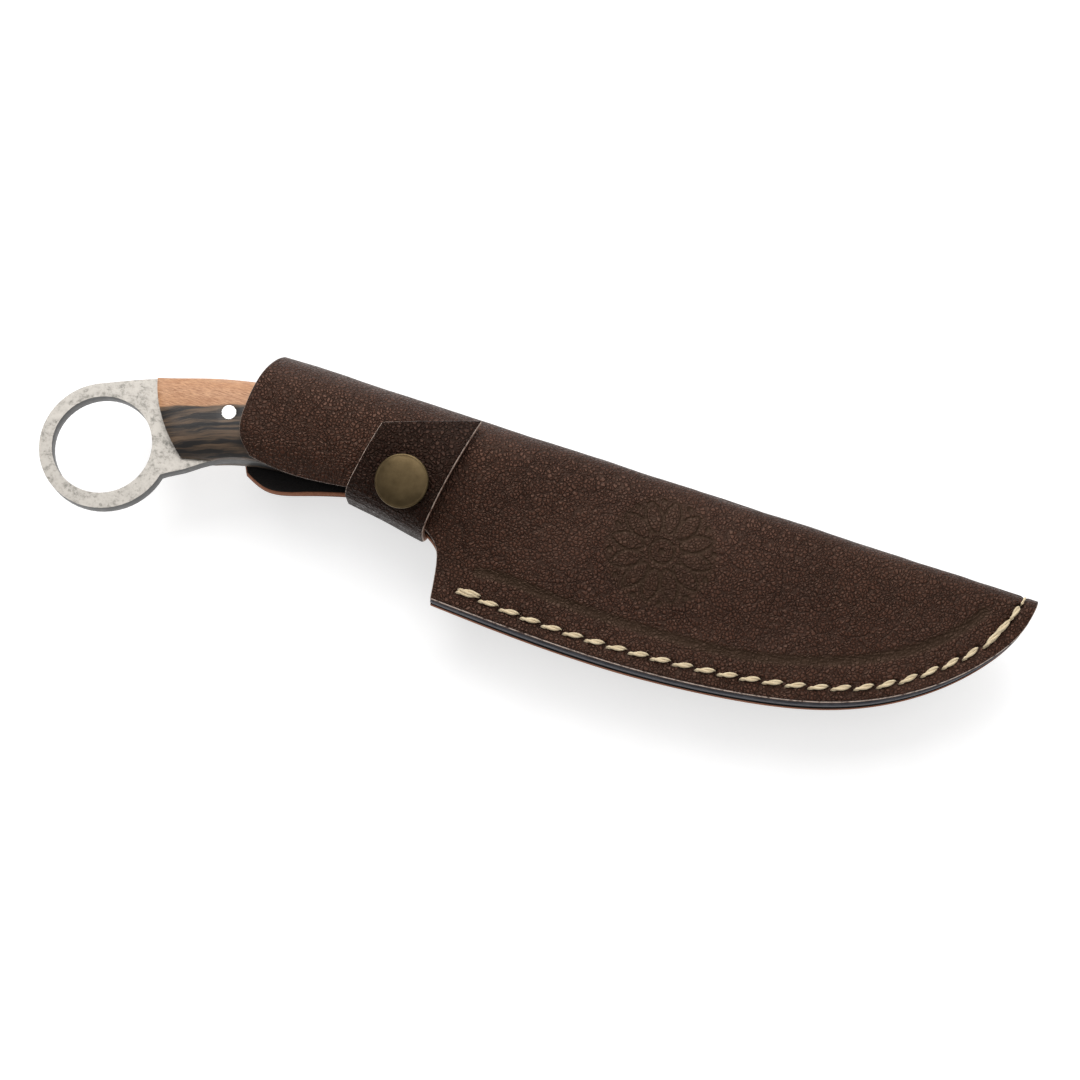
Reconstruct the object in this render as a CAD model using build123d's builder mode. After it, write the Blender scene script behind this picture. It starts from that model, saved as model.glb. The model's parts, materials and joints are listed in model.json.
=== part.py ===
"""Ring-handled hunting knife in a folded leather belt sheath with a snap strap.

Everything is drawn in the spine frame: X runs along the sheath's folded spine from the mouth to the
tip, Y is 0 on the fold and negative towards the cutting edge, and Z is 0 on the middle plane of the
steel. The finished part stands on its belt loop, with its origin at the bottom centre of its box.
"""

import os
from math import acos, atan2, cos, degrees, radians, sin, sqrt

from build123d import *

# ---------------------------------------------------------------- driving dimensions, millimetres
# steel: finger ring, full tang and blade in one plate
plate_t = 4.0
ring_x, ring_y = -36.5, -38.0
ring_hole_r = 13.0
ring_outer_x, ring_outer_y = -35.9, -38.0
ring_outer_r = 16.9
blade_edge_t = 0.3
bevel_start_x = 65.0
pin_r = 2.0
pin_gap = 0.03
pin_places = {"rear": (-7.1, -20.6), "middle": (17.0, -16.8), "front": (42.0, -15.2)}

# leather
leather_t = 2.0
welt_t = 2.6
sheath_tip_x = 205.0

# retaining strap, in its own frame: u along the lower fold, v up the strap, w out of the sheath
strap_t = 1.8
strap_corner = (28.3, -31.3)
strap_turn = -9.2
strap_w = 22.3
strap_left_len = 19.8
strap_right_len = 32.5
strap_lean = 0.8
hinge_v, hinge_w = 0.9, 7.7
hinge_gap = 0.3
strap_arc_v, strap_arc_r = 17.0, 32.9
tail_corner = (0.9, -6.0)
tail_bend = (8.0, -9.8)
tail_end = (13.0, -11.1)
snap_u, snap_v = 12.6, 8.9

# snap fastener
cap_r = 7.0
cap_h = 1.7
snap_stem_r = 1.6
socket_r = 5.4
socket_h = 1.8
socket_bore_r = 3.4
stud_base_r = 4.9
stud_knob_r = 2.9
post_r = 3.6
post_t = 0.45

# belt loop
loop_t = 2.2
loop_w = 20.0
loop_y = -15.8
belt_gap = 6.0

# rivets
rivet_head_r = 3.2
rivet_head_t = 0.8
rivet_stem_r = 1.4
rivet_flange_t = 0.5

# thread
thread_d = 1.1
thread_height = 3.55
first_stitch_len = 6.2
plain_stitch_len = 4.9
plain_stitches = 23
stitch_pitch = 5.75
end_stitches = [(8.8, 9.4), (7.0, 4.4), (4.2, 2.4)]  # distance from the stitch before, length

# ---------------------------------------------------------------- placing
throat_half = 10.4
mid_z = loop_t + belt_gap + throat_half
shift_x = -(sheath_tip_x + ring_outer_x - ring_outer_r) / 2
shift_y = -(ring_outer_y - ring_outer_r) / 2
spine = Plane(origin=(shift_x, shift_y, mid_z))


def station(x):
    """The plane square to the spine at x: its local axes are the frame's Y and Z."""
    return Plane(origin=spine.from_local_coords((x, 0, 0)), x_dir=(0, 1, 0), z_dir=(1, 0, 0))


os.makedirs("parts", exist_ok=True)


def save(builder, name):
    """Labels a finished piece and writes its STEP file."""
    builder.part.label = name
    export_step(builder.part, f"parts/{name}.step")


# ---------------------------------------------------------------- knife outline
back_points = [(-43.0, -22.7), (-29.0, -16.6), (-13.0, -11.6), (4.0, -8.2), (24.0, -6.2), (44.0, -5.2),
               (58.0, -4.6)]
palm_points = [(-13.1, -36.8), (-6.0, -32.1), (4.1, -29.5), (18.0, -28.2), (33.0, -25.9), (44.0, -26.4),
               (52.0, -27.5), (58.0, -27.0)]
back_tangents = [(0.9, 0.42), (1, 0.02)]
palm_tangents = [(0.77, 0.64), (1, 0.1)]
ring_blend = (-21.0, -43.0)
scale_rear = [(-29.1, -16.65), (-22.6, -28.1), (-13.1, -36.8)]
scale_front_x = 54.0

# ---------------------------------------------------------------- steel
# blade sections: x, spine y, grind line y, edge y, half thickness at the spine
blade_sections = [
    (58.0, -4.6, -15.9, -27.0, 2.0),
    (61.0, -4.5, -16.0, -27.3, 2.0),
    (69.0, -4.4, -13.0, -28.2, 1.95),
    (95.0, -4.4, -12.4, -29.1, 1.85),
    (125.0, -4.5, -12.2, -28.9, 1.7),
    (150.0, -4.9, -11.6, -26.2, 1.5),
    (170.0, -5.9, -10.8, -20.6, 1.2),
    (183.0, -7.5, -9.9, -14.0, 0.8),
    (189.0, -9.0, -9.6, -10.3, 0.3),
]
ruled_sections = 3
choil_x, choil_y, choil_r = 60.5, -28.2, 2.0


def blade_length(sections, ruled):
    """A stretch of the blade lofted through its sections."""
    with BuildPart() as body:
        for x, top, grind, edge, half in sections:
            edge_half = half - 0.1 if x < bevel_start_x else blade_edge_t / 2
            crown = half - 0.05
            with BuildSketch(station(x)):
                Polygon(
                    (top, crown), (grind, half), (edge, edge_half),
                    (edge, -edge_half), (grind, -half), (top, -crown), align=None,
                )
        loft(ruled=ruled)
    return body.part


with BuildPart() as blade_and_ring:
    add(blade_length(blade_sections[:ruled_sections], True))
    add(blade_length(blade_sections[ruled_sections - 1:], False))
    with BuildSketch(spine.offset(-plate_t / 2)):
        with BuildLine():
            back = Spline(*back_points, tangents=back_tangents)
            palm = Spline(*palm_points, tangents=palm_tangents)
            Line(back @ 1, palm @ 1)
            Line(back @ 0, (ring_x, ring_y))
            Line((ring_x, ring_y), ring_blend)
            Spline(ring_blend, palm @ 0, tangents=[(0.45, 0.89), palm_tangents[0]])
        make_face()
        with Locations((ring_outer_x, ring_outer_y)):
            Circle(ring_outer_r)
        with Locations((ring_x, ring_y)):
            Circle(ring_hole_r, mode=Mode.SUBTRACT)
        with Locations(*pin_places.values()):
            Circle(pin_r + pin_gap, mode=Mode.SUBTRACT)
    extrude(amount=plate_t)
    with BuildSketch(spine.offset(-plate_t)):
        with Locations((choil_x, choil_y)):
            Circle(choil_r)
    extrude(amount=2 * plate_t, mode=Mode.SUBTRACT)
save(blade_and_ring, "blade_and_ring")

# ---------------------------------------------------------------- handle scales
# crown sections: x, top y, bottom y, thickness over the steel at the crown
crown_sections = [
    (-34.0, -17.5, -42.0, 1.6),
    (-22.0, -14.4, -36.5, 3.4),
    (-8.0, -10.3, -33.0, 5.2),
    (8.0, -7.7, -29.2, 5.7),
    (24.0, -6.2, -27.4, 5.1),
    (40.0, -5.4, -26.0, 4.1),
    (56.0, -4.7, -28.0, 3.0),
]
rim = 0.8
shoulder_in = 3.2


def handle_scale(side):
    """One wooden scale under a crowned face; side is 1 for the front, -1 for the back."""
    with BuildPart() as scale:
        for x, top, bottom, t in crown_sections:
            inner = side * plate_t / 2
            low = side * (plate_t / 2 + rim)
            shoulder = side * (plate_t / 2 + 0.72 * t + 0.1)
            crown = side * (plate_t / 2 + t)
            with BuildSketch(station(x)):
                with BuildLine():
                    Polyline((bottom, low), (bottom, inner), (top, inner), (top, low))
                    Spline((top, low), (top - shoulder_in, shoulder), ((top + bottom) / 2, crown),
                           (bottom + shoulder_in, shoulder), (bottom, low))
                make_face()
        loft()
        with BuildSketch(spine.offset(side * plate_t / 2)):
            with BuildLine():
                upper = Spline(*back_points, tangents=back_tangents)
                lower = Spline(*palm_points, tangents=palm_tangents)
                Line(upper @ 1, lower @ 1)
                Line(upper @ 0, (-43.0, -40.0))
                Line((-43.0, -40.0), lower @ 0)
            make_face()
            with BuildLine():
                ThreePointArc(*scale_rear)
                Polyline(scale_rear[2], (-13.1, -60), (-60, -60), (-60, -10), (-29.1, -10), scale_rear[0])
            make_face(mode=Mode.SUBTRACT)
            with Locations((scale_front_x, -50)):
                Rectangle(20, 100, align=(Align.MIN, Align.MIN), mode=Mode.SUBTRACT)
            with Locations(*pin_places.values()):
                Circle(pin_r + pin_gap, mode=Mode.SUBTRACT)
        extrude(amount=side * 10, mode=Mode.INTERSECT)
    return scale


save(handle_scale(1), "handle_scale_front")
save(handle_scale(-1), "handle_scale_back")


# ---------------------------------------------------------------- handle pins
pin_half = {"rear": 7.2, "middle": 7.4, "front": 6.05}
for place, (x, y) in pin_places.items():
    with BuildPart() as pin:
        with BuildSketch(spine.offset(-pin_half[place])):
            with Locations((x, y)):
                Circle(pin_r)
        extrude(amount=2 * pin_half[place])
        chamfer(pin.edges().filter_by(GeomType.CIRCLE), 0.15)
    save(pin, f"handle_pin_{place}")

# ---------------------------------------------------------------- sheath body
# half thickness of the folded leather at each depth below the fold, station by station
depths = [0.7, 2.5, 6.0, 12.0, 19.0, 26.0, 33.0, 42.0, 51.0, 60.0]
sheath_sections = {
    -8.0: [3.4, 6.3, 8.9, 10.3, 10.4, 9.6, 6.8, 4.4, 3.7, 3.4],
    4.0: [3.4, 6.3, 8.9, 10.3, 10.4, 9.4, 6.0, 4.2, 3.6, 3.4],
    18.0: [3.3, 6.2, 8.8, 10.2, 10.2, 8.8, 4.6, 3.8, 3.5, 3.4],
    31.0: [3.2, 6.0, 8.5, 9.8, 9.6, 7.1, 3.4, 3.4, 3.4, 3.4],
    42.0: [3.0, 5.7, 8.1, 9.3, 8.9, 7.0, 4.2, 3.5, 3.4, 3.4],
    54.0: [2.8, 5.2, 7.4, 8.5, 8.1, 6.8, 4.7, 3.5, 3.4, 3.4],
    64.0: [2.7, 4.8, 6.7, 7.6, 7.3, 6.3, 4.8, 3.5, 3.4, 3.4],
    76.0: [2.5, 4.4, 5.8, 6.4, 6.2, 5.6, 4.6, 3.5, 3.4, 3.4],
    92.0: [2.4, 4.0, 5.0, 5.4, 5.3, 4.9, 4.3, 3.5, 3.4, 3.4],
    125.0: [2.3, 3.9, 4.7, 5.1, 5.0, 4.6, 4.0, 3.5, 3.4, 3.4],
    155.0: [2.2, 3.8, 4.5, 4.6, 4.3, 3.8, 3.5, 3.4, 3.4, 3.4],
    185.0: [2.0, 3.3, 3.7, 3.5, 3.4, 3.4, 3.4, 3.4, 3.4, 3.4],
    212.0: [1.9, 3.1, 3.4, 3.4, 3.4, 3.4, 3.4, 3.4, 3.4, 3.4],
}


def folded_section(halves, inset):
    """Points (y, z) of the folded profile, front edge over the fold to back edge, moved in by inset."""
    front = [(-d, h) for d, h in zip(depths, halves)]
    chain = [(-0.0, 0.0)] + front
    moved = []
    for before, here, after in zip(chain, front, front[1:] + [(front[-1][0] - 1, front[-1][1])]):
        along = Vector(after[0] - before[0], after[1] - before[1]).normalized()
        moved.append((here[0] - inset * along.Y, here[1] + inset * along.X))
    return [*reversed(moved), (-inset, 0.0), *[(y, -z) for y, z in moved]]


def folded_solid(inset):
    """The solid inside the folded profile, lofted along the spine and moved in by inset."""
    with BuildPart() as body:
        for x, halves in sheath_sections.items():
            points = folded_section(halves, inset)
            with BuildSketch(station(x)):
                with BuildLine():
                    Spline(*points)
                    Line(points[-1], points[0])
                make_face()
        loft(ruled=True)
    return body.part


belly_points = [(58.0, -49.4), (85.0, -50.4), (112.0, -50.2), (140.0, -47.4), (165.0, -41.3), (184.0, -31.1),
                (197.0, -18.8), (203.0, -9.0), (sheath_tip_x, 0.6)]
belly_shares = [0.6, 1.0, 1.0, 1.0, 1.1, 1.0, 0.8, 0.4, 0.0]
notch_points = [(50.4, -32.9), (54.5, -35.9), (56.9, -42.5)]
mouth_front = [(0.3, 1.0), (-1.9, -7.2), (-3.0, -17.5), (-1.4, -26.4), (2.2, -30.0), (9.0, -30.8),
               (28.4, -29.3)]
mouth_back = [(0.3, 1.0), (-1.9, -7.2), (-3.0, -17.5), (-2.4, -27.0), (0.4, -32.3), (7.0, -34.8),
              (16.0, -33.1), (28.4, -29.3)]
back_overhang = 1.0
leaf_reach = 14


def belly(overhang):
    """The stitched edge of one layer, dropped by its overhang."""
    return [(x, y - overhang * share) for (x, y), share in zip(belly_points, belly_shares)]


def leaf(mouth, overhang, reach):
    """One side of the folded leather, cut to its outline; reach is positive for the front leaf."""
    edge = belly(overhang)
    with BuildPart() as half:
        add(folded_solid(0.0))
        add(folded_solid(leather_t), mode=Mode.SUBTRACT)
        with BuildSketch(spine):
            with BuildLine():
                Spline(*mouth)
                Line(mouth[-1], notch_points[0])
                Spline(*notch_points, edge[0])
                Spline(*edge)
                Polyline(edge[-1], (sheath_tip_x, 1.0), mouth[0])
            make_face()
        extrude(amount=reach, mode=Mode.INTERSECT)
    return half.part


# ---------------------------------------------------------------- strap frame and fastener placing
along_fold = Vector(cos(radians(strap_turn)), sin(radians(strap_turn)), 0)
up_strap = Vector(-sin(radians(strap_turn)), cos(radians(strap_turn)), 0)
strap_base = Vector(*spine.from_local_coords((*strap_corner, 0)))
strap_side = Plane(origin=strap_base, x_dir=up_strap, z_dir=along_fold)
strap_plan = Plane(origin=strap_base, x_dir=along_fold, z_dir=(0, 0, 1))
arc_w = hinge_w - sqrt(strap_arc_r**2 - (strap_arc_v - hinge_v) ** 2)


def strap_point(u, v, w):
    """A point given in the strap's own u, v, w."""
    return strap_base + along_fold * u + up_strap * v + Vector(0, 0, w)


snap_rise = sqrt(strap_arc_r**2 - (strap_arc_v - snap_v) ** 2)
snap_out = (up_strap * (snap_v - strap_arc_v) + Vector(0, 0, snap_rise)).normalized()
snap = Plane(origin=strap_point(snap_u, snap_v, arc_w + snap_rise), x_dir=along_fold, z_dir=snap_out)

strap_face = strap_t / 2
socket_low = -strap_face - socket_h
stud_top = socket_low + 1.2
stud_seat = socket_low - 0.3
stud_low = stud_seat - 0.6
post_low = stud_low - 1.3

tail_slope = (tail_bend[1] - tail_corner[1]) / (tail_bend[0] - tail_corner[0])
tail_rivet_v = 6.5
tail_rivet_w = tail_corner[1] + tail_slope * (tail_rivet_v - tail_corner[0])
tail_out = (up_strap * tail_slope - Vector(0, 0, 1)).normalized()
tail_rivet_grips = {5.5: 4.3, 16.8: 5.1}

loop_tab_left = -(throat_half + 0.35 + loop_t / 2)
loop_tab_right = -7.35
loop_flat = -(mid_z - loop_t / 2)
loop_rivet_grips = {(6.0, -11.3): 4.5, (6.0, -20.3): 4.45, (89.0, -11.3): 4.9, (89.0, -20.3): 5.0}

rivets = []
for u, grip in tail_rivet_grips.items():
    face = strap_point(u, tail_rivet_v, tail_rivet_w) + tail_out * (strap_t / 2)
    rivets.append(("strap", Plane(origin=face, x_dir=along_fold, z_dir=tail_out), grip))
for (x, y), grip in loop_rivet_grips.items():
    tab = loop_tab_left if x < 40 else loop_tab_right
    face = spine.from_local_coords((x, y, tab - loop_t / 2))
    rivets.append(("loop", Plane(origin=face, x_dir=(1, 0, 0), z_dir=(0, 0, -1)), grip))


def rod(plane, radius, low, high):
    """A round rod along a plane's normal, between two heights above the plane."""
    with BuildPart() as body:
        with BuildSketch(plane.offset(low)):
            Circle(radius)
        extrude(amount=high - low)
    return body.part


# ---------------------------------------------------------------- sheath leather
with BuildPart() as sheath_leather:
    add(leaf(mouth_front, 0.0, leaf_reach))
    add(leaf(mouth_back, back_overhang, -leaf_reach))
    add(rod(snap, snap_stem_r, -9, 0), mode=Mode.SUBTRACT)
    add(rod(snap, stud_base_r + 0.1, stud_low - 0.02, 0), mode=Mode.SUBTRACT)
    add(rod(snap, post_r + 0.1, -9, post_low + post_t + 0.02), mode=Mode.SUBTRACT)
    for _, plane, grip in rivets:
        add(rod(plane, rivet_stem_r + 0.05, -grip - 1, 0), mode=Mode.SUBTRACT)
        add(rod(plane, rivet_head_r + 0.1, -grip - 2.5, -grip + rivet_flange_t + 0.02), mode=Mode.SUBTRACT)
save(sheath_leather, "sheath_leather")

# ---------------------------------------------------------------- welt between the leaves
welt_end_y = -5.0
welt_inner = [(57.2, -42.6), (85.0, -43.2), (112.0, -42.8), (140.0, -39.6), (162.0, -33.4), (177.0, -25.0),
              (187.0, -14.8), (191.5, welt_end_y)]
with BuildPart() as edge_welt:
    edge = belly(back_overhang / 2)
    with BuildSketch(spine.offset(-welt_t / 2)):
        with BuildLine():
            Spline(*edge[:-1], (sheath_tip_x - 1, welt_end_y))
            Spline(*welt_inner)
            Line(edge[0], welt_inner[0])
            Line((sheath_tip_x - 1, welt_end_y), welt_inner[-1])
        make_face()
    extrude(amount=welt_t)
save(edge_welt, "edge_welt")

# ---------------------------------------------------------------- edge stitching
with BuildLine():
    seam = Spline((66.6, -45.6), (86.3, -46.9), (109.6, -46.5), (133.3, -44.5), (156.5, -40.3),
                  (172.2, -34.7), (185.8, -25.2), (196.5, -13.2), (200.7, -2.8))
stitches = [(0.0, first_stitch_len)]
stitches += [(stitch_pitch * (i + 1), plain_stitch_len) for i in range(plain_stitches)]
for step, length in end_stitches:
    stitches.append((stitches[-1][0] + step, length))
with BuildPart() as edge_stitching:
    for place, length in stitches:
        t = place / seam.length
        spot = seam @ t
        way = seam % t
        turn = degrees(atan2(way.Y, way.X))
        for side in (1, -1):
            with BuildSketch(spine.offset(side * thread_height)):
                with Locations(Location((spot.X, spot.Y), turn)):
                    SlotOverall(length, thread_d)
            extrude(amount=side * thread_d * 0.8)
save(edge_stitching, "edge_stitching")

# ---------------------------------------------------------------- belt loop
loop_side = Plane(
    origin=spine.from_local_coords((0, loop_y + loop_w / 2, 0)), x_dir=(1, 0, 0), z_dir=(0, -1, 0)
)
with BuildPart() as belt_loop:
    with BuildSketch(loop_side):
        with BuildLine():
            FilletPolyline((0, loop_tab_left), (11, loop_tab_left), (16.5, loop_flat), (70, loop_flat),
                           (81, loop_tab_right), (96, loop_tab_right), radius=3)
        trace(line_width=loop_t)
    extrude(amount=loop_w)
    fillet(belt_loop.edges().filter_by(Axis.Z), 4)
    for owner, plane, grip in rivets:
        if owner == "loop":
            add(rod(plane, rivet_stem_r + 0.05, -loop_t - 0.2, 1), mode=Mode.SUBTRACT)
save(belt_loop, "belt_loop")

# ---------------------------------------------------------------- retaining strap
with BuildPart() as strap_tail:
    with BuildSketch(strap_side):
        with BuildLine():
            FilletPolyline((hinge_v, hinge_w), tail_corner, tail_bend, tail_end, radius=1.6)
        trace(line_width=strap_t)
        with Locations((hinge_v, hinge_w)):
            Circle(strap_t / 2)
    extrude(amount=strap_w)
    for owner, plane, grip in rivets:
        if owner == "strap":
            add(rod(plane, rivet_stem_r + 0.05, -strap_t - 1, 1), mode=Mode.SUBTRACT)
save(strap_tail, "strap_tail")

flap_start = degrees(acos((hinge_v - strap_arc_v) / strap_arc_r) - (strap_t / 2 + hinge_gap) / strap_arc_r)
flap_stop = degrees(acos((strap_right_len + 1 - strap_arc_v) / strap_arc_r))
with BuildPart() as strap_flap:
    with BuildSketch(strap_side):
        with BuildLine():
            CenterArc((strap_arc_v, arc_w), strap_arc_r, flap_stop, flap_start - flap_stop)
        trace(line_width=strap_t)
    extrude(amount=strap_w)
    with BuildSketch(strap_plan):
        Polygon((0, -5), (strap_w, -5), (strap_w, strap_right_len), (strap_lean, strap_left_len), align=None)
    extrude(amount=40, mode=Mode.INTERSECT)
    add(rod(snap, snap_stem_r, -3, 3), mode=Mode.SUBTRACT)
    add(rod(snap, socket_r + 0.05, -3, -strap_face - 0.1), mode=Mode.SUBTRACT)
save(strap_flap, "strap_flap")

# ---------------------------------------------------------------- snap fastener
with BuildPart() as snap_cap:
    add(rod(snap, cap_r, strap_face + 0.15, strap_face + cap_h))
    fillet(snap_cap.edges().group_by(Axis(snap.origin, snap.z_dir))[-1], 1.1)
    add(rod(snap, snap_stem_r - 0.1, -strap_face - 0.35, strap_face + 0.3))
save(snap_cap, "snap_cap")

with BuildPart() as snap_socket:
    add(rod(snap, socket_r, socket_low, -strap_face - 0.15))
    add(rod(snap, socket_bore_r, socket_low - 1, -strap_face - 0.45), mode=Mode.SUBTRACT)
    add(rod(snap, snap_stem_r - 0.05, socket_low, 0), mode=Mode.SUBTRACT)
save(snap_socket, "snap_socket")

with BuildPart() as snap_stud:
    add(rod(snap, stud_base_r, stud_low, stud_seat))
    add(rod(snap, stud_knob_r, stud_seat - 0.1, stud_top))
save(snap_stud, "snap_stud")

with BuildPart() as snap_post:
    add(rod(snap, post_r, post_low, post_low + post_t))
    add(rod(snap, snap_stem_r - 0.1, post_low, stud_low - 0.02))
save(snap_post, "snap_post")


# ---------------------------------------------------------------- rivets
def rivet_caps(owner):
    """The outer caps of one owner's rivets, as separate solids."""
    with BuildPart() as caps:
        for name, plane, grip in rivets:
            if name == owner:
                add(rod(plane, rivet_head_r, 0.02, rivet_head_t))
    return caps


def rivet_posts(owner):
    """The posts of one owner's rivets, as separate solids: a stem on a flange inside the sheath."""
    with BuildPart() as posts:
        for name, plane, grip in rivets:
            if name == owner:
                add(rod(plane, rivet_stem_r, -grip, 0.0))
                add(rod(plane, rivet_head_r, -grip, -grip + rivet_flange_t))
    return posts


save(rivet_caps("loop"), "belt_loop_rivet_caps")
save(rivet_posts("loop"), "belt_loop_rivet_posts")
save(rivet_caps("strap"), "strap_rivet_caps")
save(rivet_posts("strap"), "strap_rivet_posts")
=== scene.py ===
"""The looks of the ring-handled knife in its leather belt sheath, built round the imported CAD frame.

Lengths in this script are in millimetres in the spine frame: X runs along the sheath's fold from the
mouth to the tip, Y is 0 on the fold and negative towards the stitched edge, and Z is 0 on the middle
plane of the steel. world() turns them into the frame's metres, measured from the finger ring's mount.
"""

import json
from math import cos, pi, radians, sin, sqrt

import bmesh
import bpy
import numpy as np
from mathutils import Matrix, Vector

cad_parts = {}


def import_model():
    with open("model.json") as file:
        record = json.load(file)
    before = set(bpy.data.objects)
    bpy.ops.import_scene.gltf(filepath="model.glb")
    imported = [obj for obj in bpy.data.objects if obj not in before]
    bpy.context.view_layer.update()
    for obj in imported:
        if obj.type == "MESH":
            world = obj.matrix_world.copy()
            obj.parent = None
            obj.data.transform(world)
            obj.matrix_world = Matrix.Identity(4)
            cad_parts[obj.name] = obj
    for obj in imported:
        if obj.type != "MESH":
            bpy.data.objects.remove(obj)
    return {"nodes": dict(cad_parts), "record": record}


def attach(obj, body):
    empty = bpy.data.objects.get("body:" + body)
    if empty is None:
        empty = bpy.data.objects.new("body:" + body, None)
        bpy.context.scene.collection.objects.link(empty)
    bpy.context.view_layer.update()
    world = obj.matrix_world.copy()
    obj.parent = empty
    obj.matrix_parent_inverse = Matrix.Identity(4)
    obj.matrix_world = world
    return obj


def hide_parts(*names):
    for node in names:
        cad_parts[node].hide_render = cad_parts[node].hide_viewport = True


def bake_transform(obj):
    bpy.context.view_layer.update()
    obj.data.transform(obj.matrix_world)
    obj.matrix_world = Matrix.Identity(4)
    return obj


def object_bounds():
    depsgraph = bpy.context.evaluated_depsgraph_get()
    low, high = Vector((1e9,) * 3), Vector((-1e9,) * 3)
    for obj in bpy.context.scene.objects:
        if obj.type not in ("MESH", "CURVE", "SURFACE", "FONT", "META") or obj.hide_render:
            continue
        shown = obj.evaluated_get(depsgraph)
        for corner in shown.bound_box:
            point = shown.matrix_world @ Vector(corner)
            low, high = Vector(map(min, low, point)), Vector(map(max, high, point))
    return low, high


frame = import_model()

cad_low, cad_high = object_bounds()

# ------------------------------ driving dimensions, millimetres
ring_centre = (-36.5, -38.0)
leather_t = 2.0
welt_t = 2.6
back_overhang = 1.0
depths = [0.7, 2.5, 6.0, 12.0, 19.0, 26.0, 33.0, 42.0, 51.0, 60.0]
sheath_sections = {
    -8.0: [3.4, 6.3, 8.9, 10.3, 10.4, 9.6, 6.8, 4.4, 3.7, 3.4],
    4.0: [3.4, 6.3, 8.9, 10.3, 10.4, 9.4, 6.0, 4.2, 3.6, 3.4],
    18.0: [3.3, 6.2, 8.8, 10.2, 10.2, 8.8, 4.6, 3.8, 3.5, 3.4],
    31.0: [3.2, 6.0, 8.5, 9.8, 9.6, 7.1, 3.4, 3.4, 3.4, 3.4],
    42.0: [3.0, 5.7, 8.1, 9.3, 8.9, 7.0, 4.2, 3.5, 3.4, 3.4],
    54.0: [2.8, 5.2, 7.4, 8.5, 8.1, 6.8, 4.7, 3.5, 3.4, 3.4],
    64.0: [2.7, 4.8, 6.7, 7.6, 7.3, 6.3, 4.8, 3.5, 3.4, 3.4],
    76.0: [2.5, 4.4, 5.8, 6.4, 6.2, 5.6, 4.6, 3.5, 3.4, 3.4],
    92.0: [2.4, 4.0, 5.0, 5.4, 5.3, 4.9, 4.3, 3.5, 3.4, 3.4],
    125.0: [2.3, 3.9, 4.7, 5.1, 5.0, 4.6, 4.0, 3.5, 3.4, 3.4],
    155.0: [2.2, 3.8, 4.5, 4.6, 4.3, 3.8, 3.5, 3.4, 3.4, 3.4],
    185.0: [2.0, 3.3, 3.7, 3.5, 3.4, 3.4, 3.4, 3.4, 3.4, 3.4],
    212.0: [1.9, 3.1, 3.4, 3.4, 3.4, 3.4, 3.4, 3.4, 3.4, 3.4],
}
belly_points = [(58.0, -49.4), (85.0, -50.4), (112.0, -50.2), (140.0, -47.4), (165.0, -41.3), (184.0, -31.1),
                (197.0, -18.8), (203.0, -9.0), (205.0, 0.6)]
belly_shares = [0.6, 1.0, 1.0, 1.0, 1.1, 1.0, 0.8, 0.4, 0.0]
notch_points = [(50.4, -32.9), (54.5, -35.9), (56.9, -42.5)]
mouth_corner = (28.4, -29.3)
mouth_front = [(0.3, 0.0), (-1.9, -7.2), (-3.0, -17.5), (-1.4, -26.4), (2.2, -30.0)]
lip_front = [(2.2, -30.0), (9.0, -30.8), mouth_corner]
mouth_back = [(0.3, 0.0), (-1.9, -7.2), (-3.0, -17.5), (-2.4, -27.0), (0.4, -32.3)]
lip_back = [(0.4, -32.3), (7.0, -34.8), (16.0, -33.1), mouth_corner]
welt_inner = [(57.2, -42.6), (85.0, -43.2), (112.0, -42.8), (140.0, -39.6), (162.0, -33.4), (177.0, -25.0),
              (187.0, -14.8), (191.5, -5.0)]
seam_points = [(66.6, -45.6), (86.3, -46.9), (109.6, -46.5), (133.3, -44.5), (156.5, -40.3), (172.2, -34.7),
               (185.8, -25.2), (196.5, -13.2), (200.7, -2.8)]
crease_points = [(67.3, -39.3), (73.0, -38.7), (84.0, -39.4), (94.9, -39.9), (110.9, -39.9), (126.6, -39.2),
                 (141.8, -37.3), (151.6, -34.8), (163.5, -30.8), (175.0, -25.0), (181.5, -20.3),
                 (187.7, -14.4), (192.4, -7.9)]
crease_w, crease_depth, mark_pitch = 3.4, 0.1, 4.0
rosette_centre, rosette_r, rosette_depth, rosette_rays = (110.0, -19.5), 14.5, 0.12, 12

first_stitch_len, plain_stitch_len, plain_stitches, stitch_pitch = 6.4, 5.55, 23, 5.75
end_stitches = [(8.8, 9.6), (7.0, 4.8), (4.2, 3.0)]  # distance from the stitch before, length
thread_r, twist_pitch, thread_dive = 0.4, 7.5, 1.3
# the last value is the reach of the painted shade around each stitch hole
hole_depth, hole_r, hole_shade_r = 0.5, 0.6, 0.5
seam_groove_depth, seam_groove_w = 0.12, 1.4

strap_t, strap_w = 1.8, 22.3
strap_corner, strap_turn = (28.3, -31.3), radians(-9.2)
strap_left_len, strap_right_len, strap_lean = 19.8, 32.5, 0.8
hinge_v, hinge_w = 0.9, 7.7
strap_arc_v, strap_arc_r = 17.0, 32.9
strap_tail = [(13.0, -11.1), (8.0, -9.8), (0.9, -6.0)]
snap_u, snap_v = 12.6, 8.9

loop_t, loop_w, loop_y = 2.2, 20.0, -15.8
loop_path = [(0.0, -11.85), (11.0, -11.85), (16.5, -17.5), (70.0, -17.5), (81.0, -7.35), (96.0, -7.35)]
loop_corner_r, loop_bend_r, loop_step = 4.0, 3.0, 0.5
loop_groove_inset, loop_groove_w = 2.0, 0.45

# ------------------------------ placing
ring_mount = next(m for m in frame["record"]["mounts"] if m["name"] == "finger_ring")
origin = np.array(ring_mount["pos_m"]) - np.array([*ring_centre, 0.0]) * 0.001


def world(points):
    """Spine-frame millimetres to the frame's metres."""
    return np.asarray(points, float) * 0.001 + origin


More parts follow.
